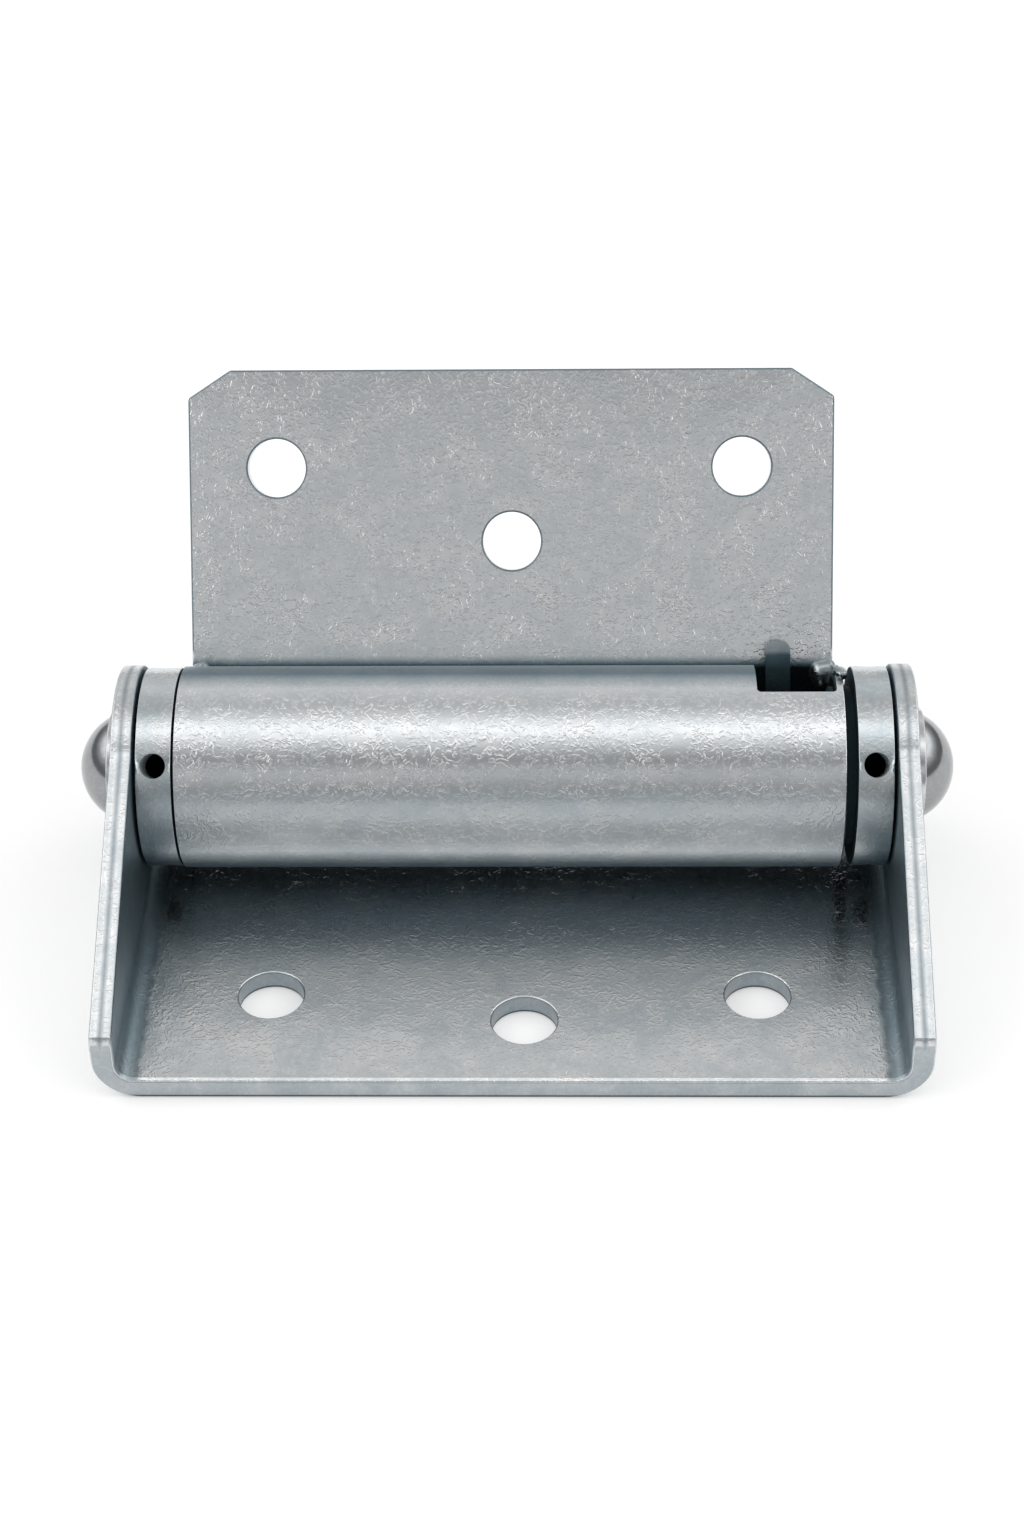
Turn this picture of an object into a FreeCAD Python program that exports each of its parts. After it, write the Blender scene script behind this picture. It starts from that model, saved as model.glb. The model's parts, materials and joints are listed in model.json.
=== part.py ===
import FreeCAD, Part
import math
import os
from FreeCAD import Vector

# Spring hinge for a fire door, shown half open.
# Frame: X along the pin, Y away from the front, Z up. The origin lies on the underside
# of the bracket, straight below the pin at its mid length. Millimetres and degrees.

# Sheet of both plates
SHEET = 3.0
EDGE_BREAK = 0.25
HOLE_BREAK = 0.25

# Bracket: a U folded from one sheet
BRACKET_LENGTH = 111.0
BASE_FRONT = 47.5
AXIS_HEIGHT = 18.4
NOSE_RADIUS = 14.4
EAR_FRONT_HEIGHT = 10.0
EAR_KINK_ROUND = 1.5
EAR_SHOULDER_ANGLE = 136.0
BEND_INNER = 2.5
BEND_OUTER = 6.2
BASE_HOLE_RADIUS = 4.5
BASE_HOLE_SPACING = 66.5
OUTER_HOLE_FROM_FRONT = 16.8
MIDDLE_HOLE_FROM_FRONT = 11.9
MIDDLE_HOLE_OFFSET = 1.5

# Barrel and leaf: one sheet, rolled at its lower end
BARREL_RADIUS = 14.25
SEAM_ANGLE = 40.0
LEAF_LEAN = 32.0
LEAF_HEIGHT = 56.0
LEAF_OVERHANG = 0.5
CORNER_WIDTH = 6.1
CORNER_HEIGHT = 4.0
CORNER_ROUND = 0.8
LEAF_HOLE_RADIUS = 4.2
LEAF_HOLE_SPACING = 67.0
LEAF_HOLE_HEIGHT = 42.0
LEAF_MIDDLE_HEIGHT = 31.4
LEAF_HOLE_SHIFT = -1.1
LEAF_MIDDLE_SHIFT = -0.7
COLLAR_RELIEF = 0.4

# Window in the barrel for the leg of the spring
WINDOW_WIDTH = 11.0
WINDOW_BRIDGE = 1.05
WINDOW_ANGLE = 127.6
WINDOW_ROUND = 0.6

# Tension collars
COLLAR_RADIUS = 14.05
COLLAR_WIDTH = 5.0
COLLAR_EDGE_BREAK = 0.15
SPIGOT_LENGTH = 3.0
SPIGOT_CLEARANCE = 0.06
BORE_CLEARANCE = 0.05
LEFT_EAR_GAP = 0.4
LEFT_BARREL_GAP = 0.35
RIGHT_EAR_GAP = 0.4
RIGHT_BARREL_GAP = 1.5
TOMMY_RADIUS = 1.75
TOMMY_DEPTH = 6.0
TOMMY_COUNT = 4
TOMMY_ANGLE = 141.0

# Pin, with both ends riveted over, and its washers
PIN_RADIUS = 6.0
NECK_RADIUS = 4.5
NECK_CLEARANCE = 0.05
HEAD_RADIUS = 7.35
HEAD_HEIGHT = 4.65
WASHER_RADIUS = 8.2
WASHER_THICKNESS = 1.6
WASHER_EDGE_BREAK = 0.2

# Torsion spring, wound from flat-sided wire
WIRE_WIDTH = 3.5
WIRE_DEPTH = 2.2
COIL_TURNS = 5
COIL_CLEARANCE = 1.05
COIL_RAMP = 60.0
COIL_END_GAP = 0.3
POINTS_PER_PIECE = 12
LEG_LENGTH = 17.55
LEG_SEAT_GAP = 0.03
LEG_END_ROUND = 1.4
LEG_PLACE = 4.05
ANCHOR_BEND = 1.9
ANCHOR_DEPTH = 4.5
ANCHOR_CLEARANCE = 0.3

# Sizes that follow from those above
EAR_OUTER = BRACKET_LENGTH / 2
EAR_INNER = EAR_OUTER - SHEET
BARREL_BORE = BARREL_RADIUS - SHEET
LEFT_COLLAR_FACE = -EAR_INNER + LEFT_EAR_GAP + COLLAR_WIDTH
RIGHT_COLLAR_FACE = EAR_INNER - RIGHT_EAR_GAP - COLLAR_WIDTH
BARREL_LEFT = LEFT_COLLAR_FACE + LEFT_BARREL_GAP
BARREL_RIGHT = RIGHT_COLLAR_FACE - RIGHT_BARREL_GAP
LEAF_LEFT = BARREL_LEFT - LEAF_OVERHANG
LEAF_RIGHT = BARREL_RIGHT
WINDOW_RIGHT = BARREL_RIGHT - WINDOW_BRIDGE
WINDOW_LEFT = WINDOW_RIGHT - WINDOW_WIDTH
SPIGOT_RADIUS = BARREL_BORE - SPIGOT_CLEARANCE
TOMMY_STEP = 360.0 / TOMMY_COUNT
COIL_OUTER = BARREL_BORE - COIL_CLEARANCE
COIL_INNER = COIL_OUTER - WIRE_DEPTH
COIL_MIDDLE = (COIL_OUTER + COIL_INNER) / 2
COIL_START_X = LEFT_COLLAR_FACE + SPIGOT_LENGTH + COIL_END_GAP + WIRE_WIDTH / 2
LEG_X = WINDOW_LEFT + LEG_PLACE
ANCHOR_ANGLE = TOMMY_ANGLE - 1.5 * TOMMY_STEP
COIL_START_ANGLE = ANCHOR_ANGLE + math.degrees(math.atan2(ANCHOR_BEND, COIL_MIDDLE))

X_AXIS = Vector(1, 0, 0)
Y_AXIS = Vector(0, 1, 0)
PIN_AXIS = Vector(0, 0, AXIS_HEIGHT)
FAR = 2 * (BRACKET_LENGTH + BASE_FRONT + LEAF_HEIGHT)


def polar(radius, angle, x=0.0):
    """Point at a radius from the pin and an angle from +Y towards +Z, pin on the X axis."""
    turn = math.radians(angle)
    return Vector(x, radius * math.cos(turn), radius * math.sin(turn))


def line(start, end):
    return Part.LineSegment(start, end).toShape()


def arc(start, middle, end):
    return Part.Arc(start, middle, end).toShape()


def closed_path(points):
    """Wire of straight runs through the points and back to the first."""
    return Part.makePolygon(points + [points[0]])


def prism(wire, travel):
    return Part.Face(wire).extrude(travel)


def turned(profile):
    """Solid turned about the X axis from a closed outline given as (x, radius) points."""
    outline = closed_path([Vector(x, radius, 0) for x, radius in profile])
    return Part.Face(outline).revolve(Vector(0, 0, 0), X_AXIS, 360)


def rod(start, end, radius):
    run = end - start
    return Part.makeCylinder(radius, run.Length, start, run)


def on_pin(shape):
    """Moves what was made round the X axis up to the pin."""
    return shape.translated(PIN_AXIS)


def edges_where(shape, wanted):
    return [edge for edge in shape.Edges if wanted(edge)]


def break_circles(shape, circle_radius, size, wanted=lambda edge: True):
    """Breaks the sharp circular edges of one radius, as punching and turning leave them."""

    def is_rim(edge):
        circular = isinstance(edge.Curve, Part.Circle)
        return circular and abs(edge.Curve.Radius - circle_radius) < 1e-6 and wanted(edge)

    return shape.makeChamfer(size, edges_where(shape, is_rim))


def mid_point(edge):
    return edge.valueAt((edge.FirstParameter + edge.LastParameter) / 2)


# Bracket
def channel():
    """The folded sheet before its ears are cut to shape: a U along Y, with bent corners."""
    outer = Part.makeBox(BRACKET_LENGTH, FAR, FAR, Vector(-EAR_OUTER, -FAR / 2, 0))
    inner = Part.makeBox(2 * EAR_INNER, FAR, FAR, Vector(-EAR_INNER, -FAR / 2, SHEET))

    def runs_at(height):
        return lambda edge: abs(mid_point(edge).z - height) < 1e-6 and edge.Length > FAR - 1

    outer = outer.makeFillet(BEND_OUTER, edges_where(outer, runs_at(0)))
    inner = inner.makeFillet(BEND_INNER, edges_where(inner, runs_at(SHEET)))
    return outer.cut(inner)


def side_outline():
    """Outline of the bracket seen along the pin: front, slope, nose and upright rear.
    The slope meets the nose in a shallow inward corner, its shoulder."""
    kink = Vector(0, -BASE_FRONT, EAR_FRONT_HEIGHT)
    shoulder = PIN_AXIS + polar(NOSE_RADIUS, EAR_SHOULDER_ANGLE)
    top = PIN_AXIS + Vector(0, 0, NOSE_RADIUS)
    rear = PIN_AXIS + Vector(0, NOSE_RADIUS, 0)
    slope = (shoulder - kink).normalize()
    turn = slope.getAngle(Vector(0, 0, 1))
    cut_back = EAR_KINK_ROUND * math.tan(turn / 2)
    low = kink - Vector(0, 0, cut_back)
    high = kink + slope * cut_back
    bisector = (slope - Vector(0, 0, 1)).normalize()
    reach = EAR_KINK_ROUND / math.cos(turn / 2) - EAR_KINK_ROUND
    return Part.Wire([
        line(Vector(0, -BASE_FRONT, -SHEET), low),
        arc(low, kink + bisector * reach, high),
        line(high, shoulder),
        arc(shoulder, top, rear),
        line(rear, Vector(0, NOSE_RADIUS, -SHEET)),
        line(Vector(0, NOSE_RADIUS, -SHEET), Vector(0, -BASE_FRONT, -SHEET)),
    ])


def base_holes():
    """Centres of the three fixing holes in the base."""
    outer_y = OUTER_HOLE_FROM_FRONT - BASE_FRONT
    middle_y = MIDDLE_HOLE_FROM_FRONT - BASE_FRONT
    return [
        Vector(-BASE_HOLE_SPACING / 2, outer_y, 0),
        Vector(MIDDLE_HOLE_OFFSET, middle_y, 0),
        Vector(BASE_HOLE_SPACING / 2, outer_y, 0),
    ]


def make_bracket():
    outline = side_outline()
    outline.translate(Vector(-FAR / 2, 0, 0))
    bracket = channel().common(prism(outline, Vector(FAR, 0, 0)))
    rim = prism(outline, Vector(FAR, 0, 0)).Shells[0]

    def on_rim(edge):
        start = edge.FirstParameter
        across_sheet = edge.Length < 1.5 * SHEET and abs(edge.tangentAt(start).x) > 0.99
        sample = [edge.valueAt(start), mid_point(edge), edge.valueAt(edge.LastParameter)]
        near = all(rim.distToShape(Part.Vertex(point))[0] < 1e-5 for point in sample)
        return near and not across_sheet

    bracket = bracket.makeChamfer(EDGE_BREAK, edges_where(bracket, on_rim))
    through = Vector(0, 0, 2 * SHEET)
    for centre in base_holes():
        bracket = bracket.cut(rod(centre - through, centre + through, BASE_HOLE_RADIUS))
    bracket = break_circles(bracket, BASE_HOLE_RADIUS, HOLE_BREAK)
    neck_hole = rod(Vector(-FAR, 0, 0), Vector(FAR, 0, 0), NECK_RADIUS + NECK_CLEARANCE)
    return bracket.cut(on_pin(neck_hole))


# Leaf, made upright with its roll round the X axis, then leaned back
def rolled_section():
    """Section of the sheet: plate, then down and round the pin to the seam near the plate."""
    outer = BARREL_RADIUS
    inner = BARREL_BORE
    return Part.Wire([
        line(Vector(0, outer, LEAF_HEIGHT), Vector(0, outer, 0)),
        arc(Vector(0, outer, 0), polar(outer, -90), polar(outer, -180)),
        arc(polar(outer, 180), polar(outer, (180 + SEAM_ANGLE) / 2), polar(outer, SEAM_ANGLE)),
        line(polar(outer, SEAM_ANGLE), polar(inner, SEAM_ANGLE)),
        arc(polar(inner, SEAM_ANGLE), polar(inner, (180 + SEAM_ANGLE) / 2), polar(inner, 180)),
        arc(polar(inner, -180), polar(inner, -90), Vector(0, inner, 0)),
        line(Vector(0, inner, 0), Vector(0, inner, LEAF_HEIGHT)),
        line(Vector(0, inner, LEAF_HEIGHT), Vector(0, outer, LEAF_HEIGHT)),
    ])


def leaf_front():
    """Outline of the leaf seen from the front, with its two cut corners."""
    shoulder = LEAF_HEIGHT - CORNER_HEIGHT
    floor = -2 * BARREL_RADIUS
    outline = closed_path([
        Vector(LEAF_LEFT, -FAR / 2, floor),
        Vector(LEAF_LEFT, -FAR / 2, shoulder),
        Vector(LEAF_LEFT + CORNER_WIDTH, -FAR / 2, LEAF_HEIGHT),
        Vector(LEAF_RIGHT - CORNER_WIDTH, -FAR / 2, LEAF_HEIGHT),
        Vector(LEAF_RIGHT, -FAR / 2, shoulder),
        Vector(LEAF_RIGHT, -FAR / 2, floor),
    ])
    plate = prism(outline, Vector(0, FAR, 0))

    def at_corner(edge):
        return edge.Length > FAR - 1 and mid_point(edge).z > shoulder - 1e-6

    return plate.makeFillet(CORNER_ROUND, edges_where(plate, at_corner))


def window_cutter():
    """Wedge that opens the top of the roll, with rounded lower corners."""
    outside = 2 * BARREL_RADIUS
    plate_side = BARREL_BORE - EDGE_BREAK
    outline = closed_path([
        Vector(WINDOW_LEFT, 0, 0),
        polar(outside, WINDOW_ANGLE, WINDOW_LEFT),
        Vector(WINDOW_LEFT, plate_side, outside),
        Vector(WINDOW_LEFT, plate_side, plate_side * math.tan(math.radians(SEAM_ANGLE - 1))),
    ])
    wedge = prism(outline, Vector(WINDOW_WIDTH, 0, 0))
    direction = polar(1, WINDOW_ANGLE)

    def at_lower_corner(edge):
        along = abs(edge.tangentAt(edge.FirstParameter).dot(direction)) > 0.999
        return along and edge.Length > outside - 1

    return wedge.makeFillet(WINDOW_ROUND, edges_where(wedge, at_lower_corner))


def leaf_holes():
    """Places of the three fixing holes as (x, height up the leaf)."""
    return [
        (LEAF_HOLE_SHIFT - LEAF_HOLE_SPACING / 2, LEAF_HOLE_HEIGHT),
        (LEAF_MIDDLE_SHIFT, LEAF_MIDDLE_HEIGHT),
        (LEAF_HOLE_SHIFT + LEAF_HOLE_SPACING / 2, LEAF_HOLE_HEIGHT),
    ]


def make_leaf():
    section = rolled_section()
    section.translate(Vector(-FAR / 2, 0, 0))
    leaf = prism(section, Vector(FAR, 0, 0)).common(leaf_front())

    def on_plate_edge(edge):
        middle = mid_point(edge)
        on_face = abs(middle.y - BARREL_BORE) < 1e-6 or abs(middle.y - BARREL_RADIUS) < 1e-6
        return on_face and middle.z > 0 and edge.Length > 0.1

    leaf = leaf.makeChamfer(EDGE_BREAK, edges_where(leaf, on_plate_edge))
    collar_space = rod(Vector(-FAR, 0, 0), Vector(BARREL_LEFT, 0, 0), COLLAR_RADIUS + COLLAR_RELIEF)
    leaf = leaf.cut(collar_space)
    leaf = leaf.cut(window_cutter())
    for x, height in leaf_holes():
        leaf = leaf.cut(rod(Vector(x, 0, height), Vector(x, FAR, height), LEAF_HOLE_RADIUS))
    leaf = break_circles(leaf, LEAF_HOLE_RADIUS, HOLE_BREAK)
    leaf.rotate(Vector(0, 0, 0), X_AXIS, -LEAF_LEAN)
    return on_pin(leaf)


# Tension collars, two like rings turned end for end
def anchor_pocket():
    """Slot through a collar for the bent end of the spring, open towards the barrel."""
    bottom = COIL_INNER - ANCHOR_CLEARANCE
    half_width = WIRE_WIDTH / 2 + ANCHOR_CLEARANCE
    corner = Vector(-FAR, bottom, -ANCHOR_BEND - half_width)
    pocket = Part.makeBox(2 * FAR, BARREL_BORE - bottom, 2 * half_width, corner)
    pocket.rotate(Vector(0, 0, 0), X_AXIS, COIL_START_ANGLE)
    return pocket


def make_collar(face, outward):
    """Ring whose inner face is at x = face; outward is -1 at the left end and 1 at the right."""
    bore = PIN_RADIUS + BORE_CLEARANCE
    back = face + outward * COLLAR_WIDTH
    nose = face - outward * SPIGOT_LENGTH
    ring = turned([
        (back, bore),
        (back, COLLAR_RADIUS),
        (face, COLLAR_RADIUS),
        (face, SPIGOT_RADIUS),
        (nose, SPIGOT_RADIUS),
        (nose, bore),
    ])
    ring = break_circles(ring, COLLAR_RADIUS, COLLAR_EDGE_BREAK)
    middle = (face + back) / 2
    for step in range(TOMMY_COUNT):
        angle = TOMMY_ANGLE + step * TOMMY_STEP
        bottom = polar(COLLAR_RADIUS - TOMMY_DEPTH, angle, middle)
        ring = ring.cut(rod(bottom, polar(2 * COLLAR_RADIUS, angle, middle), TOMMY_RADIUS))
    return on_pin(ring.cut(anchor_pocket()))


# Pin and washers
def dome(outward):
    """Riveted head: a cap of a sphere that stands on the washer."""
    seat = outward * (EAR_OUTER + WASHER_THICKNESS)
    sphere_radius = (HEAD_RADIUS ** 2 + HEAD_HEIGHT ** 2) / (2 * HEAD_HEIGHT)
    centre = seat + outward * (HEAD_HEIGHT - sphere_radius)
    ball = Part.makeSphere(sphere_radius, Vector(centre, 0, 0), Y_AXIS)
    keep = rod(Vector(seat, 0, 0), Vector(seat + outward * FAR, 0, 0), 2 * HEAD_RADIUS)
    return ball.common(keep)


def make_pin():
    seat = EAR_OUTER + WASHER_THICKNESS
    shank = rod(Vector(-EAR_INNER, 0, 0), Vector(EAR_INNER, 0, 0), PIN_RADIUS)
    neck = rod(Vector(-seat, 0, 0), Vector(seat, 0, 0), NECK_RADIUS)
    return on_pin(shank.fuse([neck, dome(-1), dome(1)]).removeSplitter())


def make_washer(outward):
    inner_face = Vector(outward * EAR_OUTER, 0, 0)
    outer_face = inner_face + X_AXIS * (outward * WASHER_THICKNESS)
    washer = rod(inner_face, outer_face, WASHER_RADIUS)
    washer = washer.cut(rod(inner_face, outer_face, NECK_RADIUS + NECK_CLEARANCE))

    def on_outer_face(edge):
        return abs(mid_point(edge).x) > EAR_OUTER + WASHER_THICKNESS / 2

    return on_pin(break_circles(washer, WASHER_RADIUS, WASHER_EDGE_BREAK, on_outer_face))


# Torsion spring. Its four long corners are drawn first, and ruled faces join them.
def coil_advance(swept, total):
    """Travel along the pin, in radians of a steady helix, with level ends; and its rate."""
    ramp = math.radians(COIL_RAMP)
    if swept < ramp:
        return swept ** 2 / (2 * ramp), swept / ramp
    if swept > total - ramp:
        left = total - swept
        return total - ramp - left ** 2 / (2 * ramp), left / ramp
    return swept - ramp / 2, 1.0


def leg_tilt():
    """Angle by which the leg leans back so that its tip bears on the leaf."""
    reach = math.hypot(COIL_OUTER, LEG_LENGTH)
    seat = BARREL_BORE - LEG_SEAT_GAP
    return math.degrees(math.atan2(LEG_LENGTH, COIL_OUTER) - math.acos(seat / reach))


def coil_corner(radius, side, end_angle):
    """One long corner of the coil: splines of about a turn each, through points of a helix."""
    start = math.radians(COIL_START_ANGLE)
    total = math.radians(end_angle) - start + 2 * math.pi * COIL_TURNS
    scale = (LEG_X - COIL_START_X) / coil_advance(total, total)[0]

    def point(swept):
        x = COIL_START_X + side + scale * coil_advance(swept, total)[0]
        return polar(radius, math.degrees(start + swept), x)

    def tangent(swept):
        rate = scale * coil_advance(swept, total)[1]
        return polar(radius, math.degrees(start + swept) + 90, rate)

    pieces = math.ceil(total / (2 * math.pi))
    step = total / pieces / POINTS_PER_PIECE
    edges = []
    for piece in range(pieces):
        first = piece * POINTS_PER_PIECE
        swept = [index * step for index in range(first, first + POINTS_PER_PIECE + 1)]
        spline = Part.BSplineCurve()
        spline.interpolate(
            Points=[point(angle) for angle in swept],
            Parameters=swept,
            InitialTangent=tangent(swept[0]),
            FinalTangent=tangent(swept[-1]),
            Scale=False,
        )
        edges.append(spline.toShape())
    return edges


def spring_corner(radius, side, end_angle):
    """A long corner of the spring from the collar to the tip: run, bend, coil and leg."""
    start = polar(radius, COIL_START_ANGLE, COIL_START_X + side)
    back = polar(-1, COIL_START_ANGLE + 90)
    bend = ANCHOR_BEND + side
    centre = start - X_AXIS * bend
    low = centre + back * bend
    middle = centre + (X_AXIS + back) * (bend * math.sqrt(0.5))
    leg_start = polar(radius, end_angle, LEG_X + side)
    leg_end = leg_start + polar(LEG_LENGTH, end_angle + 90)
    anchor = [line(low - X_AXIS * ANCHOR_DEPTH, low), arc(low, middle, start)]
    return anchor + coil_corner(radius, side, end_angle) + [line(leg_start, leg_end)]


def make_spring():
    end_angle = -LEAF_LEAN - leg_tilt()
    half = WIRE_WIDTH / 2
    corners = [
        spring_corner(COIL_INNER, -half, end_angle),
        spring_corner(COIL_OUTER, -half, end_angle),
        spring_corner(COIL_OUTER, half, end_angle),
        spring_corner(COIL_INNER, half, end_angle),
    ]
    faces = []
    for place in range(4):
        for near, far in zip(corners[place - 1], corners[place]):
            faces.append(Part.makeRuledSurface(near, far))
    first = [edges[0].valueAt(edges[0].FirstParameter) for edges in corners]
    last = [edges[-1].valueAt(edges[-1].LastParameter) for edges in corners]
    faces += [Part.Face(closed_path(first)), Part.Face(closed_path(last))]
    shell = Part.makeShell(faces)
    shell.sewShape()
    spring = Part.Solid(shell)
    tip = (last[0] + last[2]) / 2

    def at_tip(edge):
        across = abs(edge.tangentAt(edge.FirstParameter).x) < 0.01
        return across and mid_point(edge).distanceToPoint(tip) < WIRE_WIDTH

    return on_pin(spring.makeFillet(LEG_END_ROUND, edges_where(spring, at_tip)))


parts = {
    "bracket": make_bracket(),
    "leaf": make_leaf(),
    "pivot_pin": make_pin(),
    "tension_collar_left": make_collar(LEFT_COLLAR_FACE, -1),
    "tension_collar_right": make_collar(RIGHT_COLLAR_FACE, 1),
    "torsion_spring": make_spring(),
    "washer_left": make_washer(-1),
    "washer_right": make_washer(1),
}

os.makedirs("parts", exist_ok=True)
for name, shape in parts.items():
    shape.exportStep("parts/" + name + ".step")
    print(name, "solids", len(shape.Solids), "valid", shape.isValid(), "mm3", round(shape.Volume))
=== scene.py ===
import json
import math

import bmesh
import bpy
import numpy as np
from mathutils import Matrix, Vector

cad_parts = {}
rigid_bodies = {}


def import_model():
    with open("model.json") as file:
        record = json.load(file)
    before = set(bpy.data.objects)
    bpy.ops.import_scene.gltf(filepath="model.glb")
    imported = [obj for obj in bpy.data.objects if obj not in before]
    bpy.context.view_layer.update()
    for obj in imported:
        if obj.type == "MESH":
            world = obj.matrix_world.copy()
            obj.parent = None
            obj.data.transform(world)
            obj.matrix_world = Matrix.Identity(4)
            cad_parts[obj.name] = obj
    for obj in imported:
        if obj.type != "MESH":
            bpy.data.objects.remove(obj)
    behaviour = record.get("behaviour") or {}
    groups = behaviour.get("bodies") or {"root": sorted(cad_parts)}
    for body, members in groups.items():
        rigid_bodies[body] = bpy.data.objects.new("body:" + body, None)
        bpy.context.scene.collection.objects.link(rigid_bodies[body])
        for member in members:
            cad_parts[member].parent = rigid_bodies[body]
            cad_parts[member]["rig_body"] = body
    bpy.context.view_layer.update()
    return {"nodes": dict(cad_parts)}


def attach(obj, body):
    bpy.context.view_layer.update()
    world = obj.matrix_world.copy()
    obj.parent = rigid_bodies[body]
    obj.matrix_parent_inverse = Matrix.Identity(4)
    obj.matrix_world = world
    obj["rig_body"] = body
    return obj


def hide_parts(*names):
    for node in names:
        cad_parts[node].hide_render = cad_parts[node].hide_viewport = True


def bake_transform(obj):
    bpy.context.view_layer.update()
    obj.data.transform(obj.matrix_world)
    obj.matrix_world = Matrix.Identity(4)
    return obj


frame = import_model()
MM = 0.001

# Camera: its place and turn come from fitting the hinge's corners to the photograph
CAMERA_PLACE = Vector((9.191, -314.987, 270.806)) * MM
CAMERA_YAW = math.radians(-1.774)
CAMERA_DOWN = math.radians(38.730)
CAMERA_ROLL = math.radians(-1.203)
CAMERA_LENS = 66.753

# Pin: its line runs from left to right at this height
PIN_LINE = (0.0, 0.0, 18.4 * MM)
ALONG_PIN = (1.0, 0.0, 0.0)

# Leaf: it leans back from upright, and its front face passes this far behind the pin
LEAF_LEAN = math.radians(32.0)
LEAF_UPWARD = (0.0, math.sin(LEAF_LEAN), math.cos(LEAF_LEAN))
LEAF_BACKWARD = (0.0, math.cos(LEAF_LEAN), -math.sin(LEAF_LEAN))
LEAF_FRONT = 11.25 * MM
WINDOW_LEFT = 33.5 * MM

# Collars: the side that faces the barrel
COLLAR_FACE = 47.1 * MM

# Bracket: its base from front to rear, the ears over the bends, and the base's holes
SHEET = 3.0 * MM
BASE_FRONT = -47.5 * MM
BASE_REAR = 14.4 * MM
EAR_INNER = 52.5 * MM
EAR_MIDDLE = EAR_INNER + SHEET / 2
EAR_EDGE_BOTTOM = 8.0 * MM
OUTER_HOLE_PLACE = (33.25 * MM, 30.7 * MM, 0.0)  # the two outer ones, mirrored to one place
MIDDLE_HOLE_PLACE = (1.5 * MM, -35.6 * MM, 0.0)
BASE_HOLE_RADIUS = 4.5 * MM
DIE_ROLL_WIDTH = 0.75 * MM
DIE_ROLL_DROP = 0.40 * MM

# Zinc: how rough it is where shade is painted, and where the bath drained off last
DULL_ROUGHNESS = 0.6
MATT_ROUGHNESS = 0.75

# Two faces with less than this turn between them are shaded as one
ROLLING_EDGE = math.radians(50)

# Table: it runs to the horizon. Its paper is this bright by the studio's light, and is lifted
# to white
TABLE_REACH = 60.0
TABLE_COLOUR = (0.65, 0.65, 0.65, 1.0)
TABLE_LIFT = 0.37

# Studio: how bright the surroundings are in front of, above and behind the hinge, by the
# angle round the pin's line in degrees, from the front horizon over the top to the rear
STUDIO = [
    (0, 0.42), (9, 0.34), (16, 0.44), (24, 0.68), (33, 0.72), (40, 0.42), (46, 0.26),
    (51, 0.44), (58, 0.68), (67, 0.93), (75, 1.40), (82, 1.70), (89, 1.28), (97, 0.90),
    (108, 0.62), (116, 0.60), (128, 0.74), (142, 0.85), (158, 0.75), (180, 0.55),
]
# And how bright at its two sides, by the sine of the angle above the horizon
SIDES = [
    (0.0, 0.25), (0.12, 0.28), (0.2, 0.3), (0.36, 0.9), (0.48, 2.2), (0.7, 2.4), (0.85, 1.2),
    (1.0, 1.0),
]


# Nodes
def linear(hex_colour):
    """An sRGB hex value as linear red, green and blue, with an alpha of 1."""
    srgb = np.array([int(hex_colour[start:start + 2], 16) for start in (1, 3, 5)]) / 255
    curve = np.where(srgb <= 0.04045, srgb / 12.92, ((srgb + 0.055) / 1.055) ** 2.4)
    return (*curve.tolist(), 1.0)


def add(tree, kind, inputs, stops=(), **settings):
    """Adds a node. Each input is a plain value, or the output that is linked to it, under
    its socket's name or number. The stops are a colour ramp's places and colours."""
    node = tree.nodes.new(kind)
    for name, value in settings.items():
        setattr(node, name, value)
    for socket, value in inputs.items():
        if isinstance(value, bpy.types.NodeSocket):
            tree.links.new(value, node.inputs[socket])
        else:
            node.inputs[socket].default_value = value
    if stops:
        ends = node.color_ramp.elements
        ends[0].position, ends[0].color = stops[0]
        ends[1].position, ends[1].color = stops[-1]
        for place, colour in stops[1:-1]:
            ends.new(place).color = colour
    return node


def start_material(name):
    material = bpy.data.materials.new(name)
    material.use_nodes = True
    material.node_tree.nodes.clear()
    return material, material.node_tree


def greys(*stops):
    """Stops of a colour ramp, from their places and plain levels."""
    return [(place, (level, level, level, 1.0)) for place, level in stops]


# Where a material changes on a part
def within(tree, *limits):
    """How far a place lies within all of some limits, from 0 to 1. A limit is a share itself, or
    a value, where it begins to count and where it counts in full, and then the share before
    that, where this isn't 0."""
    share = None
    for limit in limits:
        if isinstance(limit, tuple):
            value, begin, full, *before = limit
            limit = add(tree, "ShaderNodeMapRange", {
                "Value": value, "From Min": begin, "From Max": full,
                "To Min": before[0] if before else 0.0,
            }, interpolation_type="SMOOTHSTEP").outputs["Result"]
        share = limit if share is None else add(tree, "ShaderNodeMath", {
            0: share, 1: limit,
        }, operation="MINIMUM").outputs[0]
    return share


def height_over_plane(tree, place, normal, point):
    """How far a place lies over a plane, along the plane's normal."""
    away = add(tree, "ShaderNodeVectorMath", {0: place, 1: point}, operation="SUBTRACT")
    return add(tree, "ShaderNodeVectorMath", {
        0: away.outputs["Vector"], 1: normal,
    }, operation="DOT_PRODUCT").outputs["Value"]


def up_the_leaf(tree, place):
    """How far up the leaf's plate a place lies, from level with the pin."""
    return height_over_plane(tree, place, LEAF_UPWARD, PIN_LINE)


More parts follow.
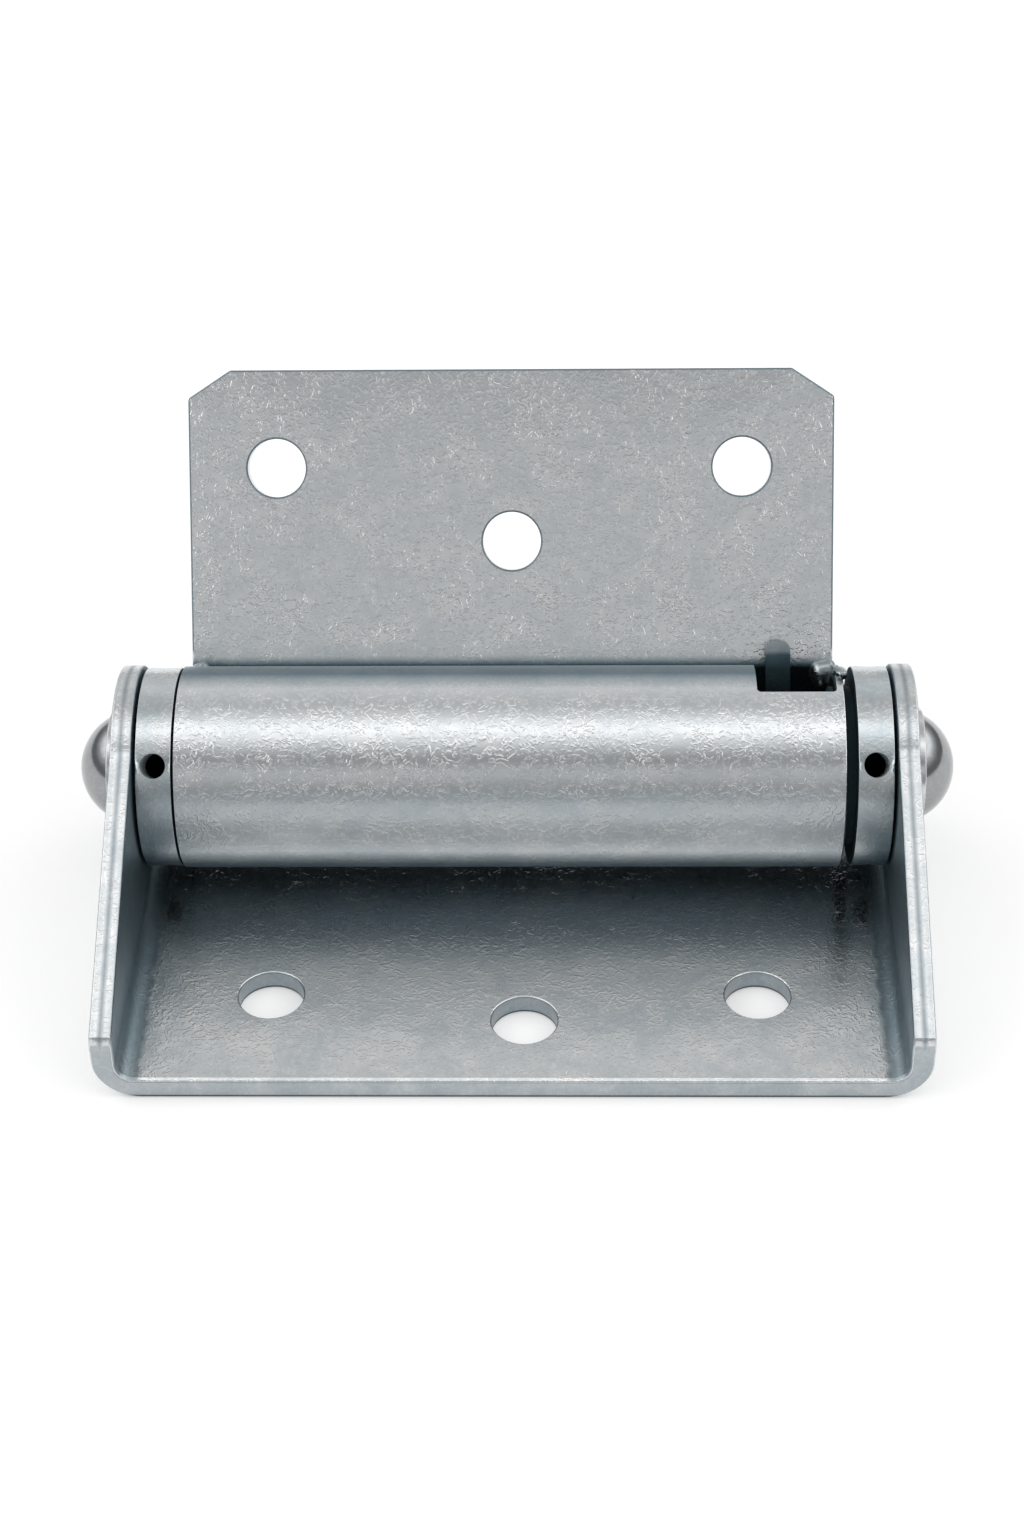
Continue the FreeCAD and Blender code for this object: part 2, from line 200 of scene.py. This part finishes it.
def distance_from_line(tree, place, point, across):
    """How far a place lies from the line through a point. The axes across the line have a 1."""
    away = add(tree, "ShaderNodeVectorMath", {0: place, 1: point}, operation="SUBTRACT")
    away = add(tree, "ShaderNodeVectorMath", {
        0: away.outputs["Vector"], 1: across,
    }, operation="MULTIPLY")
    return add(tree, "ShaderNodeVectorMath", {
        0: away.outputs["Vector"],
    }, operation="LENGTH").outputs["Value"]


def distance_from_pin(tree, place):
    return distance_from_line(tree, place, PIN_LINE, (0.0, 1.0, 1.0))


def painted_shade_belt(tree, place):
    """Painted shade: the front of the barrel and the collars is darker and less glossy in a belt a
    little over mid height, and on their underside. Its levels go by the height, from 8 to 28 mm
    over the table."""
    axes = add(tree, "ShaderNodeSeparateXYZ", {"Vector": place})
    height = add(tree, "ShaderNodeMapRange", {
        "Value": axes.outputs["Z"], "From Min": 8 * MM, "From Max": 28 * MM,
    }).outputs["Result"]
    # The painted shade's levels, by height
    film = add(tree, "ShaderNodeValToRGB", {"Fac": height}, stops=greys(
        (0, 0.42), (0.11, 0.47), (0.24, 0.78), (0.31, 1), (0.48, 1), (0.59, 0.82), (0.71, 0.76),
        (0.77, 0.68), (0.83, 0.86), (0.9, 0.92), (1, 1),
    )).outputs["Color"]
    front = within(tree, (axes.outputs["Y"], 7 * MM, -4 * MM))
    return add(tree, "ShaderNodeMix", {0: front, 2: 1.0, 3: film}, data_type="FLOAT").outputs[0]


def leaf_painted_shade(tree, place):
    """Painted shade inside the roll, and in the crease between the barrel and the front of the
    plate. It clears within 2 mm up the plate, and towards the front of the barrel. The broken
    edges of the plate and of its holes, which are neither along the sheet nor square to it, are
    drawn as a dark line."""
    behind = height_over_plane(tree, place, LEAF_BACKWARD, PIN_LINE)
    upward = up_the_leaf(tree, place)
    up_crease = add(tree, "ShaderNodeMapRange", {
        "Value": upward, "From Min": 13 * MM, "From Max": 17 * MM,
    }).outputs["Result"]
    crease = add(tree, "ShaderNodeValToRGB", {"Fac": up_crease}, stops=greys(
        (0, 0.01), (0.08, 0.1), (0.2, 0.4), (0.32, 0.72), (0.46, 0.98), (1, 1),
    )).outputs["Color"]
    on_front = within(
        tree, (behind, LEAF_FRONT - 3 * MM, LEAF_FRONT - 0.5 * MM),
        (behind, LEAF_FRONT + 1.2 * MM, LEAF_FRONT + 0.4 * MM))
    plate = add(tree, "ShaderNodeMix", {
        0: on_front, 2: 1.0, 3: crease,
    }, data_type="FLOAT").outputs[0]
    over_barrel = add(tree, "ShaderNodeMapRange", {
        "Value": behind, "From Min": -8 * MM, "From Max": 10 * MM,
    }).outputs["Result"]
    # Painted shade on the barrel where it faces the plate, in the crease
    facing_plate = add(tree, "ShaderNodeValToRGB", {"Fac": over_barrel}, stops=greys(
        (0, 1), (0.2, 0.36), (0.3, 0.4), (0.45, 0.6), (0.65, 0.8), (0.85, 0.8), (1, 0.6),
    )).outputs["Color"]
    on_barrel = within(
        tree, (upward, 2 * MM, 6 * MM),
        (behind, LEAF_FRONT - 0.1 * MM, LEAF_FRONT - 0.4 * MM))
    barrel = add(tree, "ShaderNodeMix", {
        0: on_barrel, 2: 1.0, 3: facing_plate,
    }, data_type="FLOAT").outputs[0]
    along = add(tree, "ShaderNodeAttribute", {}, attribute_name="along_sheet").outputs["Fac"]
    broken = within(tree, (along, 0.25, 0.4), (along, 0.99, 0.9), (upward, 15 * MM, 16 * MM))
    edge = add(tree, "ShaderNodeMapRange", {
        "Value": broken, "To Min": 1.0, "To Max": 0.4,
    }).outputs["Result"]
    return within(
        tree, plate, edge, barrel, painted_shade_belt(tree, place),
        (distance_from_pin(tree, place), 12.2 * MM, 14 * MM))


def collar_painted_shade(tree, place):
    """Painted shade: black at the bottom of the tommy-bar holes, dark on the side that faces the
    barrel, and the painted belt on the front.
    """
    axes = add(tree, "ShaderNodeSeparateXYZ", {"Vector": place})
    aside = add(tree, "ShaderNodeMath", {0: axes.outputs["X"]}, operation="ABSOLUTE").outputs[0]
    return within(
        tree, (distance_from_pin(tree, place), 8.3 * MM, 9.4 * MM),
        (aside, COLLAR_FACE, COLLAR_FACE + 0.12 * MM, 0.12), painted_shade_belt(tree, place))


def barrel_matt(tree, place):
    """Matt low on the front, where the bath drains off last."""
    axes = add(tree, "ShaderNodeSeparateXYZ", {"Vector": place})
    low_front = within(
        tree, (axes.outputs["Z"], 24.4 * MM, 21.6 * MM), (axes.outputs["Y"], -6 * MM, -9 * MM))
    return add(tree, "ShaderNodeMath", {0: low_front, 1: 0.25}, operation="MULTIPLY").outputs[0]


def collar_matt(tree, place):
    """As matt as the barrel low on the front, and more so on the drilled walls of the holes."""
    walls = within(tree, (distance_from_pin(tree, place), 13.85 * MM, 13.6 * MM))
    return add(tree, "ShaderNodeMath", {
        0: barrel_matt(tree, place), 1: walls,
    }, operation="MAXIMUM").outputs[0]


def wire_painted_shade(tree, place):
    """Painted shade: dark and less glossy inside the barrel and in its window, and lighter at the
    tip of the leg.
    """
    up_leg = add(tree, "ShaderNodeMapRange", {
        "Value": up_the_leaf(tree, place), "From Min": 8 * MM, "From Max": 18 * MM,
    }).outputs["Result"]
    return add(tree, "ShaderNodeValToRGB", {"Fac": up_leg}, stops=greys(
        (0, 0.03), (0.5, 0.10), (0.7, 0.28), (0.76, 0.75), (1, 0.9),
    )).outputs["Color"]


def bracket_inside_painted_shade(tree, place, axes, aside):
    """Painted shade on the ears' inner faces and in the bends. A noise makes its edge ragged, and
    it reaches a millimetre or two on to the base."""
    shade_edge_noise = add(tree, "ShaderNodeTexNoise", {
        "Vector": place, "Scale": 1 / (2.5 * MM), "Detail": 3.0,
    }).outputs["Fac"]
    into_bend = add(tree, "ShaderNodeMath", {
        0: shade_edge_noise, 1: 1.6 * MM, 2: aside,
    }, operation="MULTIPLY_ADD").outputs[0]
    in_bend = add(tree, "ShaderNodeMath", {
        0: within(tree, (into_bend, EAR_INNER - 2.6 * MM, EAR_INNER - 1.4 * MM)),
        1: within(tree, (axes.outputs["Z"], SHEET + 0.1 * MM, SHEET + 2.5 * MM)),
    }, operation="MAXIMUM").outputs[0]
    bend_level = add(tree, "ShaderNodeMapRange", {
        "Value": axes.outputs["Y"], "From Min": -24 * MM, "From Max": -46 * MM,
        "To Min": 0.38, "To Max": 0.55,
    }).outputs["Result"]
    return add(tree, "ShaderNodeMix", {
        0: in_bend, 2: 1.0, 3: bend_level,
    }, data_type="FLOAT").outputs[0]


def ear_edge_lanes(tree, axes, aside):
    """The ears' sheared edges are bright in two lanes beside a groove at mid thickness, where
    shearing turned to tearing, and greyer at their rims, which is painted shade where the edges
    round off. The lanes go by the distance from mid thickness, in half thicknesses."""
    off_middle = add(tree, "ShaderNodeMath", {0: aside, 1: EAR_MIDDLE}, operation="SUBTRACT")
    off_middle = add(tree, "ShaderNodeMath", {
        0: off_middle.outputs[0],
    }, operation="ABSOLUTE").outputs[0]
    across = add(tree, "ShaderNodeMath", {
        0: off_middle, 1: SHEET / 2,
    }, operation="DIVIDE").outputs[0]
    lanes = add(tree, "ShaderNodeValToRGB", {"Fac": across}, stops=greys(
        (0, 0.6), (0.2, 0.8), (0.38, 1), (0.8, 0.95), (0.92, 0.6), (1, 0.5),
    )).outputs["Color"]
    along = add(tree, "ShaderNodeAttribute", {}, attribute_name="along_sheet").outputs["Fac"]
    on_edge = within(
        tree, (along, 0.8, 0.4), (aside, EAR_INNER + 0.05 * MM, EAR_INNER + 0.35 * MM),
        (axes.outputs["Z"], EAR_EDGE_BOTTOM, EAR_EDGE_BOTTOM + 1 * MM))
    return add(tree, "ShaderNodeMix", {
        0: on_edge, 2: 1.0, 3: lanes,
    }, data_type="FLOAT").outputs[0]


def bracket_painted_shade(tree, place):
    """Painted shade inside the U but not on its end faces, and grey on the ears' edges. The front
    face and the walls of the holes are greyer than the sheet, and all within 0.85 mm of the
    table is darkened, as painted shade where it meets the table."""
    axes = add(tree, "ShaderNodeSeparateXYZ", {"Vector": place})
    mirrored = add(tree, "ShaderNodeVectorMath", {0: place}, operation="ABSOLUTE").outputs["Vector"]
    aside = add(tree, "ShaderNodeSeparateXYZ", {"Vector": mirrored}).outputs["X"]
    on_ends = add(tree, "ShaderNodeMath", {
        0: within(tree, (axes.outputs["Y"], BASE_FRONT + 0.3 * MM, BASE_FRONT + 0.1 * MM)),
        1: within(tree, (axes.outputs["Y"], BASE_REAR - 0.3 * MM, BASE_REAR - 0.1 * MM)),
    }, operation="MAXIMUM").outputs[0]
    outside = add(tree, "ShaderNodeMath", {
        0: within(tree, (aside, EAR_INNER + 0.05 * MM, EAR_INNER + 0.35 * MM)), 1: on_ends,
    }, operation="MAXIMUM").outputs[0]
    sheet = add(tree, "ShaderNodeMix", {
        0: outside, 2: bracket_inside_painted_shade(tree, place, axes, aside), 3: 1.0,
    }, data_type="FLOAT").outputs[0]
    hole_walls = [
        (distance_from_line(tree, position, hole, (1.0, 1.0, 0.0)),
         BASE_HOLE_RADIUS + 0.03 * MM, BASE_HOLE_RADIUS + 0.12 * MM, 0.6)
        for position, hole in ((mirrored, OUTER_HOLE_PLACE), (place, MIDDLE_HOLE_PLACE))
    ]
    return within(
        tree, sheet, ear_edge_lanes(tree, axes, aside),
        # Painted shade along the bottom, where the sheet meets the table
        (axes.outputs["Z"], 0.2 * MM, 0.85 * MM),
        (axes.outputs["Y"], BASE_FRONT + 0.02 * MM, BASE_FRONT + 0.12 * MM, 0.71), *hole_walls)


def bracket_fall(tree, place):
    """The sheet's upper side rolls down where the die sheared its front edge."""
    axes = add(tree, "ShaderNodeSeparateXYZ", {"Vector": place})
    return add(tree, "ShaderNodeMapRange", {
        "Value": axes.outputs["Y"], "From Min": BASE_FRONT + DIE_ROLL_WIDTH,
        "From Max": BASE_FRONT, "To Min": 0.0, "To Max": -DIE_ROLL_DROP,
    }).outputs["Result"]


# Materials
def orange_peel(tree, place, cloud, width, height):
    """Short worm-like ridges between fine grains, higher in the bright patches of the clouds.
    The worms are the lines where a slow noise crosses its middle: one, less the distance from
    the middle, broken up by a second noise. All heights are true ones, and the ridges are drawn
    a third wider than they are, so that they hold at this picture's size."""
    wander = add(tree, "ShaderNodeTexNoise", {
        "Vector": place, "Scale": 1 / (3.2 * width), "Detail": 1.5, "Roughness": 0.55,
        "Distortion": 1.1,
    }).outputs["Fac"]
    off_middle = add(tree, "ShaderNodeMath", {0: wander, 1: 0.5}, operation="SUBTRACT")
    distance = add(tree, "ShaderNodeMath", {0: off_middle.outputs[0]}, operation="ABSOLUTE")
    grain = add(tree, "ShaderNodeTexNoise", {
        "Vector": place, "Scale": 1 / (1.3 * width), "Detail": 1.0, "Roughness": 0.5,
    }).outputs["Fac"]
    worm = add(tree, "ShaderNodeMath", {
        0: within(tree, (distance.outputs[0], 0.10, 0.0)), 1: within(tree, (grain, 0.36, 0.56)),
    }, operation="MULTIPLY").outputs[0]
    ridges = add(tree, "ShaderNodeMath", {
        0: grain, 1: 0.4, 2: worm,
    }, operation="MULTIPLY_ADD").outputs[0]
    patch = add(tree, "ShaderNodeMapRange", {
        "Value": cloud, "From Min": 0.40, "From Max": 0.60, "To Min": height * 0.5,
        "To Max": height,
    }, interpolation_type="SMOOTHSTEP").outputs["Result"]
    ridges = add(tree, "ShaderNodeMath", {0: ridges, 1: patch}, operation="MULTIPLY").outputs[0]
    return worm, ridges


def zinc_plate(name, bright, cool, rough, peel_width, peel_height, wave_height, painted_shade_by_place=None,
               matt=None, fall=None):
    """Bright zinc plate over steel. The bath leaves an orange peel, and the blue passivation
    film lies thicker in clouds some millimetres wide, which look cooler and a little less
    glossy. Broad shallow waves from rolling or turning lie under them. The painted-shade function
    gives a share from 0 to 1, which fades the plate over a blue-grey to a blue-black and dulls
    its gloss: painted shade. What matt gives takes its gloss away, and fall gives one more height."""
    material, tree = start_material(name)
    place = add(tree, "ShaderNodeTexCoord", {}).outputs["Object"]
    cloud = add(tree, "ShaderNodeTexNoise", {
        "Vector": place, "Scale": 1 / (5 * MM), "Detail": 4.0, "Roughness": 0.6, "Distortion": 0.5,
    }).outputs["Fac"]
    worm, ridges = orange_peel(tree, place, cloud, peel_width, peel_height)
    swell = add(tree, "ShaderNodeTexNoise", {
        "Vector": place, "Scale": 1 / (9 * MM), "Detail": 2.0, "Distortion": 0.6,
    }).outputs["Fac"]
    relief = add(tree, "ShaderNodeMath", {
        0: swell, 1: wave_height, 2: ridges,
    }, operation="MULTIPLY_ADD").outputs[0]
    if fall:
        relief = add(tree, "ShaderNodeMath", {
            0: relief, 1: fall(tree, place),
        }, operation="ADD").outputs[0]
    peel = add(tree, "ShaderNodeBump", {
        "Strength": 1.0, "Distance": 1.0, "Height": relief,
    }).outputs["Normal"]

    film = add(tree, "ShaderNodeValToRGB", {"Fac": cloud}, stops=[
        (0.34, linear(cool)), (0.64, linear(bright)),
    ]).outputs["Color"]
    worn = add(tree, "ShaderNodeMapRange", {"Value": worm, "To Min": 0.96, "To Max": 1.05})
    tint = add(tree, "ShaderNodeVectorMath", {
        0: film, "Scale": worn.outputs["Result"],
    }, operation="SCALE").outputs["Vector"]
    gloss = add(tree, "ShaderNodeMapRange", {
        "Value": cloud, "From Min": 0.3, "From Max": 0.7,
        "To Min": rough * 1.2, "To Max": rough * 0.85,
    }).outputs["Result"]
    if painted_shade_by_place:
        share = painted_shade_by_place(tree, place)
        # Painted shade: the share fades the tint down to a blue-black
        dull = add(tree, "ShaderNodeValToRGB", {"Fac": share}, stops=[
            (0.0, linear("#0C1416")), (0.25, linear("#6B8189")), (0.5, linear("#A6B4BB")),
            (0.6, linear("#BEC5C9")), (1.0, linear("#FFFFFF")),
        ]).outputs["Color"]
        tint = add(tree, "ShaderNodeVectorMath", {
            0: tint, 1: dull,
        }, operation="MULTIPLY").outputs["Vector"]
        gloss = add(tree, "ShaderNodeMix", {
            0: share, 2: DULL_ROUGHNESS, 3: gloss,
        }, data_type="FLOAT").outputs[0]
    if matt:
        gloss = add(tree, "ShaderNodeMix", {
            0: matt(tree, place), 2: gloss, 3: MATT_ROUGHNESS,
        }, data_type="FLOAT").outputs[0]
    plate = add(tree, "ShaderNodeBsdfPrincipled", {
        "Base Color": tint, "Metallic": 1.0, "Roughness": gloss, "Normal": peel,
    })
    add(tree, "ShaderNodeOutputMaterial", {"Surface": plate.outputs["BSDF"]})
    return material


# Folded sheet: a pale grey with soft glints, since the peel is fine and the sheet flat
bracket_zinc = zinc_plate(
    "bright_zinc_on_folded_sheet", "#DCDDDD", "#C7CDD0", 0.24, 0.45 * MM, 0.024 * MM, 0.05 * MM,
    bracket_painted_shade, fall=bracket_fall)
# Rolled sheet: rolling stretched the plate's skin, so the peel glitters most and the waves show
leaf_zinc = zinc_plate(
    "bright_zinc_on_rolled_sheet", "#DADCDD", "#CED3D6", 0.21, 0.45 * MM, 0.028 * MM, 0.10 * MM,
    leaf_painted_shade, barrel_matt)
# Turned steel: smoother, with a bluer film, so the collars mirror the studio in plain bands
turned_zinc = zinc_plate(
    "bright_zinc_on_turned_steel", "#D2D4D5", "#BAC4C8", 0.19, 0.4 * MM, 0.014 * MM, 0.02 * MM,
    collar_painted_shade, collar_matt)
# Peened heads: the hammer left them smooth and a warmer, darker grey
peened_zinc = zinc_plate(
    "bright_zinc_on_peened_head", "#9E9FA0", "#95989A", 0.14, 0.6 * MM, 0.002 * MM, 0.03 * MM)
# Washers: stamped, smooth and pale
washer_zinc = zinc_plate(
    "bright_zinc_on_washer", "#D0D1D2", "#C2C5C7", 0.18, 0.5 * MM, 0.004 * MM, 0.03 * MM)
# Weld beads: rough and lumpy under the zinc, and greyer
weld_zinc = zinc_plate(
    "zinc_on_weld_bead", "#AEB4B8", "#8E999E", 0.28, 0.6 * MM, 0.04 * MM, 0.10 * MM)
# Spring wire: drawn, so it is smooth, and a dull blue-grey
wire_zinc = zinc_plate(
    "bright_zinc_on_spring_wire", "#B4BABD", "#98A4A9", 0.26, 0.4 * MM, 0.008 * MM, 0.02 * MM,
    wire_painted_shade)


# Pieces
def plated(node, finish, sheet_normal, twist=None):
    """The CAD node's mesh with its triangles joined, shaded so that flat faces stay flat and
    light rolls over the broken edges between them. Each face is given as along_sheet how much
    of its normal is along the sheet's: 1 on the sheet's two sides, 0 on what is square to them.
    The piece stands for the node, and rides its body, or, if twist is given, is baked where it
    stands and rides no body."""
    mesh = frame["nodes"][node].data.copy()
    mesh.name = node + "_plated"
    if "custom_normal" in mesh.attributes:
        mesh.attributes.remove(mesh.attributes["custom_normal"])
    net = bmesh.new()
    net.from_mesh(mesh)
    bmesh.ops.remove_doubles(net, verts=net.verts, dist=0.001 * MM)
    for face in net.faces:
        face.smooth = True
    for edge in net.edges:
        edge.smooth = len(edge.link_faces) == 2 and edge.calc_face_angle() < ROLLING_EDGE
    net.to_mesh(mesh)
    net.free()
    normals = np.empty(3 * len(mesh.polygons))
    mesh.polygons.foreach_get("normal", normals)
    along = mesh.attributes.new("along_sheet", "FLOAT", "FACE")
    along.data.foreach_set("value", np.abs(normals.reshape(-1, 3) @ np.array(sheet_normal)))
    mesh.materials.clear()
    mesh.materials.append(finish)
    piece = bpy.data.objects.new(node + "_plated", mesh)
    bpy.context.scene.collection.objects.link(piece)
    rolling = piece.modifiers.new("light_rolls_over_edges", "WEIGHTED_NORMAL")
    rolling.mode = "FACE_AREA_WITH_ANGLE"
    rolling.keep_sharp = True
    if twist:
        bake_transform(piece)
    else:
        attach(piece, frame["nodes"][node]["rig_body"])
    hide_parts(node)


plated("bracket", bracket_zinc, ALONG_PIN)
plated("leaf", leaf_zinc, LEAF_BACKWARD)
plated("pivot_pin", peened_zinc, ALONG_PIN)
plated("tension_collar_left", turned_zinc, ALONG_PIN)
plated("tension_collar_right", turned_zinc, ALONG_PIN)
# The spring: its left end stays in the collar and its leg bears on the leaf; it is baked where it
# stands
plated("torsion_spring", wire_zinc, ALONG_PIN, twist=(
    "bracket", "leaf", (-COLLAR_FACE, 0.0, 0.0), (WINDOW_LEFT, 0.0, 0.0)))
plated("washer_left", washer_zinc, ALONG_PIN)
plated("washer_right", washer_zinc, ALONG_PIN)


def weld_bead(name, centre, reach, finish):
    """A lump of weld: a ball, stretched to its three reaches along the pin, behind it and up
    the leaf. Its radius swells by a tenth in three ripples round it, most at its middle, and by
    a little more than a twentieth in ripples that slant along it. It rides with the leaf."""
    rings, steps = 18, 28  # along it and round it
    polar = np.linspace(0, math.pi, rings + 2)[1:-1, None]
    turn = np.linspace(0, 2 * math.pi, steps, endpoint=False)[None, :]
    swell = 1 + 0.10 * np.sin(polar) ** 2 * np.sin(3 * turn + 1.0) + 0.06 * np.sin(5 * polar + turn)
    ball = np.stack([
        np.cos(polar) + 0 * turn, np.sin(polar) * np.cos(turn), np.sin(polar) * np.sin(turn),
    ], axis=-1) * swell[..., None]
    ball = np.concatenate([ball.reshape(-1, 3), [[1.0, 0.0, 0.0], [-1.0, 0.0, 0.0]]])
    local = (np.array(centre) + ball * np.array(reach)) * MM
    points = local @ np.array([ALONG_PIN, LEAF_BACKWARD, LEAF_UPWARD]) + np.array(PIN_LINE)
    ring, step = np.meshgrid(np.arange(rings - 1), np.arange(steps), indexing="ij")
    following = (step + 1) % steps
    quads = np.stack([
        ring * steps + step, (ring + 1) * steps + step, (ring + 1) * steps + following,
        ring * steps + following,
    ], axis=-1).reshape(-1, 4)
    step = np.arange(steps)
    following = (step + 1) % steps
    last = (rings - 1) * steps
    first_cap = np.stack([np.full(steps, rings * steps), step, following], axis=-1)
    last_cap = np.stack([np.full(steps, rings * steps + 1), last + following, last + step], axis=-1)
    mesh = bpy.data.meshes.new(name)
    mesh.from_pydata(points.tolist(), [], quads.tolist() + first_cap.tolist() + last_cap.tolist())
    mesh.shade_smooth()
    mesh.materials.append(finish)
    bead = bpy.data.objects.new(name, mesh)
    bpy.context.scene.collection.objects.link(bead)
    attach(bead, frame["nodes"]["leaf"]["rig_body"])


# Tack welds close the two ends of the roll's seam, in the crease behind the barrel
weld_bead("seam_weld_right", (44.2, 8.8, 12.3), (2.1, 2.9, 2.3), weld_zinc)
weld_bead("seam_weld_right_end", (45.4, -3.0, 13.4), (1.0, 4.2, 0.9), weld_zinc)
weld_bead("seam_weld_left", (-45.5, 8.6, 12.3), (1.5, 3.4, 2.1), weld_zinc)


# Studio
def make_table():
    """A white table: paper that lifts to pure white for the eye and in the metal alike, less
    what the hinge shades."""
    material, tree = start_material("white_table_paper")
    rays = add(tree, "ShaderNodeLightPath", {})
    seen = add(tree, "ShaderNodeMath", {
        0: rays.outputs["Is Camera Ray"], 1: rays.outputs["Is Glossy Ray"],
    }, operation="ADD")
    seen = add(tree, "ShaderNodeMath", {
        0: seen.outputs[0], 1: rays.outputs["Is Transmission Ray"],
    }, operation="ADD", use_clamp=True)
    lift = add(tree, "ShaderNodeMath", {0: seen.outputs[0], 1: TABLE_LIFT}, operation="MULTIPLY")
    paper = add(tree, "ShaderNodeBsdfDiffuse", {"Color": TABLE_COLOUR})
    glow = add(tree, "ShaderNodeEmission", {"Strength": lift.outputs[0]})
    both = add(tree, "ShaderNodeAddShader", {0: paper.outputs[0], 1: glow.outputs[0]})
    add(tree, "ShaderNodeOutputMaterial", {"Surface": both.outputs[0]})
    mesh = bpy.data.meshes.new("table")
    mesh.from_pydata([
        (TABLE_REACH * across, TABLE_REACH * along, 0.0)
        for across, along in ((-1, -1), (1, -1), (1, 1), (-1, 1))
    ], [], [(0, 1, 2, 3)])
    mesh.materials.append(material)
    table = bpy.data.objects.new("table", mesh)
    bpy.context.scene.collection.objects.link(table)


def make_surroundings():
    """The studio as a sky: its brightness follows the angle round the pin's line, and evens
    out towards the two sides. Behind the table's horizon the eye sees plain white, and the
    metal shows the studio."""
    world = bpy.data.worlds.new("studio")
    bpy.context.scene.world = world
    world.use_nodes = True
    tree = world.node_tree
    tree.nodes.clear()
    direction = add(tree, "ShaderNodeTexCoord", {}).outputs["Generated"]
    axes = add(tree, "ShaderNodeSeparateXYZ", {"Vector": direction})
    front = add(tree, "ShaderNodeMath", {0: axes.outputs["Y"], 1: -1.0}, operation="MULTIPLY")
    turn = add(tree, "ShaderNodeMath", {
        0: axes.outputs["Z"], 1: front.outputs[0],
    }, operation="ARCTAN2")
    share = add(tree, "ShaderNodeMath", {0: turn.outputs[0], 1: math.pi}, operation="DIVIDE")
    over = add(tree, "ShaderNodeValToRGB", {"Fac": share.outputs[0]}, stops=greys(*(
        (angle / 180, level) for angle, level in STUDIO
    )))
    at_side = add(tree, "ShaderNodeValToRGB", {"Fac": axes.outputs["Z"]}, stops=greys(*SIDES))
    aside = add(tree, "ShaderNodeMath", {0: axes.outputs["X"]}, operation="ABSOLUTE")
    to_side = add(tree, "ShaderNodeMapRange", {
        "Value": aside.outputs[0], "From Min": 0.35, "From Max": 0.7,
    }, interpolation_type="SMOOTHSTEP")
    level = add(tree, "ShaderNodeMix", {
        0: to_side.outputs["Result"], 6: over.outputs["Color"], 7: at_side.outputs["Color"],
    }, data_type="RGBA")
    backdrop = add(tree, "ShaderNodeMix", {
        0: add(tree, "ShaderNodeLightPath", {}).outputs["Is Camera Ray"],
        6: level.outputs[2], 7: (1.0, 1.0, 1.0, 1.0),
    }, data_type="RGBA")
    sky = add(tree, "ShaderNodeBackground", {"Color": backdrop.outputs[2]})
    add(tree, "ShaderNodeOutputWorld", {"Surface": sky.outputs[0]})


def make_camera():
    """Looks along its yaw and downward angle, then is rolled about that line."""
    forward = Vector((
        math.sin(CAMERA_YAW) * math.cos(CAMERA_DOWN),
        math.cos(CAMERA_YAW) * math.cos(CAMERA_DOWN),
        -math.sin(CAMERA_DOWN),
    ))
    level = Vector((math.cos(CAMERA_YAW), -math.sin(CAMERA_YAW), 0.0))
    upright = level.cross(forward)
    right = level * math.cos(CAMERA_ROLL) + upright * math.sin(CAMERA_ROLL)
    up = upright * math.cos(CAMERA_ROLL) - level * math.sin(CAMERA_ROLL)
    data = bpy.data.cameras.new("photo_camera")
    data.lens = CAMERA_LENS
    camera = bpy.data.objects.new("photo_camera", data)
    turn = Matrix((right, up, -forward)).transposed().to_4x4()
    camera.matrix_world = Matrix.Translation(CAMERA_PLACE) @ turn
    bpy.context.scene.collection.objects.link(camera)
    bpy.context.scene.camera = camera


make_table()
make_surroundings()
make_camera()
bpy.context.scene.view_settings.view_transform = "Standard"
